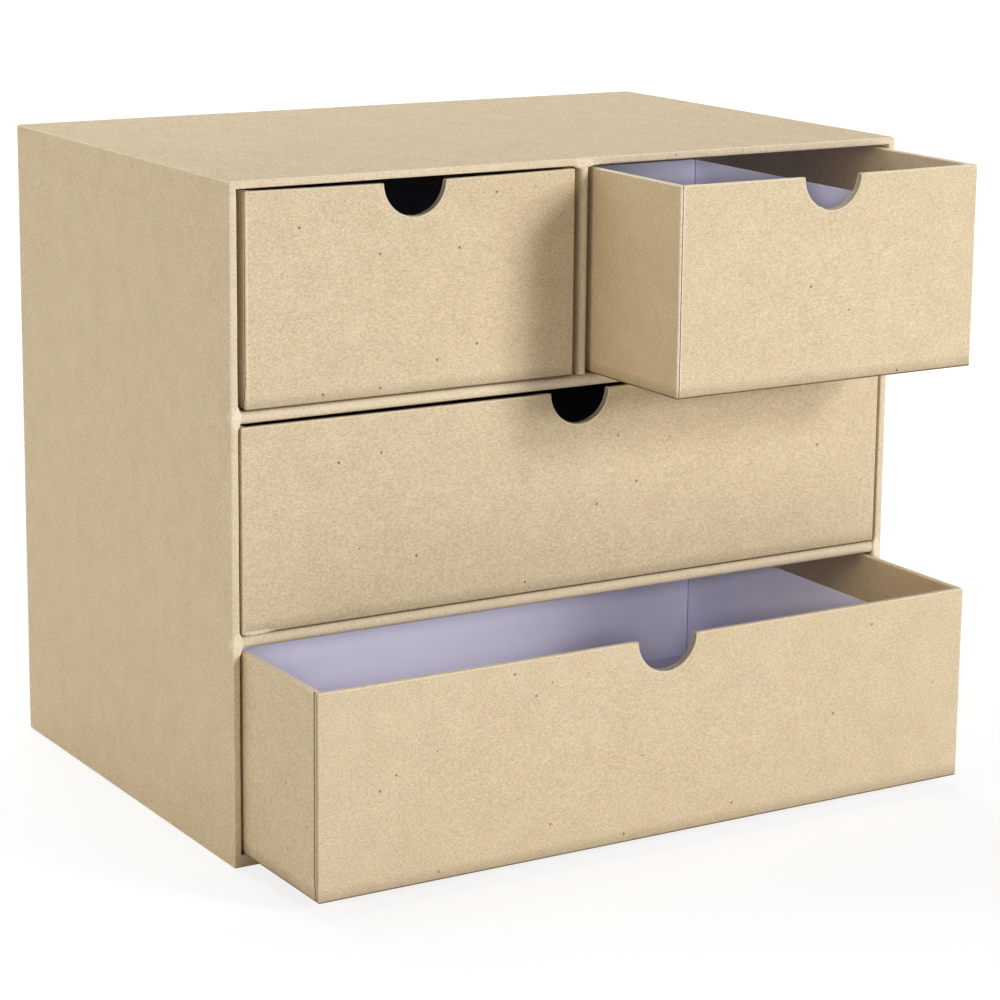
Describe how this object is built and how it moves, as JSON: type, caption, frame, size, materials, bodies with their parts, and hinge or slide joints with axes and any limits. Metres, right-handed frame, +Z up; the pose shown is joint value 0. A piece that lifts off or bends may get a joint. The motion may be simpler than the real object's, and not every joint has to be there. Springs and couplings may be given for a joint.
{
  "type": "desktop mini drawers",
  "caption": "Free-standing desktop chest of kraft-covered board with small drawers side by side over full-width drawers, each pulled by a half-round thumb notch.",
  "frame": {"origin": "middle of the underside of the case, on the surface it stands on", "axes": "+X to the right as seen from the front, +Y to the back, +Z up; the drawers open along -Y"},
  "size_m": [0.33, 0.2815, 0.284],
  "materials": {
    "kraft_paper": "matt recycled kraft with fine fibre flecks",
    "greyboard": "raw solid chipboard",
    "pale_lining": "smooth matt pale lavender paper"
  },
  "bodies": {
    "case": {"case_top_board": "greyboard", "case_base_board": "greyboard", "case_left_board": "greyboard", "case_right_board": "greyboard", "case_back_board": "greyboard", "upper_shelf_board": "greyboard", "lower_shelf_board": "greyboard", "divider_board": "greyboard", "case_wrap": "kraft_paper", "case_base_sheet": "kraft_paper", "case_back_sheet": "kraft_paper", "upper_shelf_wrap": "kraft_paper", "lower_shelf_wrap": "kraft_paper", "divider_wrap": "kraft_paper"},
    "upper_left_drawer": {"upper_left_drawer_front_board": "greyboard", "upper_left_drawer_back_board": "greyboard", "upper_left_drawer_left_board": "greyboard", "upper_left_drawer_right_board": "greyboard", "upper_left_drawer_floor_board": "greyboard", "upper_left_drawer_wrap": "kraft_paper", "upper_left_drawer_base_sheet": "kraft_paper", "upper_left_drawer_lining": "pale_lining"},
    "upper_right_drawer": {"upper_right_drawer_front_board": "greyboard", "upper_right_drawer_back_board": "greyboard", "upper_right_drawer_left_board": "greyboard", "upper_right_drawer_right_board": "greyboard", "upper_right_drawer_floor_board": "greyboard", "upper_right_drawer_wrap": "kraft_paper", "upper_right_drawer_base_sheet": "kraft_paper", "upper_right_drawer_lining": "pale_lining"},
    "middle_drawer": {"middle_drawer_front_board": "greyboard", "middle_drawer_back_board": "greyboard", "middle_drawer_left_board": "greyboard", "middle_drawer_right_board": "greyboard", "middle_drawer_floor_board": "greyboard", "middle_drawer_wrap": "kraft_paper", "middle_drawer_base_sheet": "kraft_paper", "middle_drawer_lining": "pale_lining"},
    "bottom_drawer": {"bottom_drawer_front_board": "greyboard", "bottom_drawer_back_board": "greyboard", "bottom_drawer_left_board": "greyboard", "bottom_drawer_right_board": "greyboard", "bottom_drawer_floor_board": "greyboard", "bottom_drawer_wrap": "kraft_paper", "bottom_drawer_base_sheet": "kraft_paper", "bottom_drawer_lining": "pale_lining"}
  },
  "joints": [
    {"name": "upper_left_slide", "type": "slide", "parent": "case", "child": "upper_left_drawer", "axis": [0, -1, 0], "range_m": [-0.001, 0.159]},
    {"name": "upper_right_slide", "type": "slide", "parent": "case", "child": "upper_right_drawer", "axis": [0, -1, 0], "range_m": [-0.064, 0.096]},
    {"name": "middle_slide", "type": "slide", "parent": "case", "child": "middle_drawer", "axis": [0, -1, 0], "range_m": [0, 0.16]},
    {"name": "bottom_slide", "type": "slide", "parent": "case", "child": "bottom_drawer", "axis": [0, -1, 0], "range_m": [-0.065, 0.095]}
  ]
}
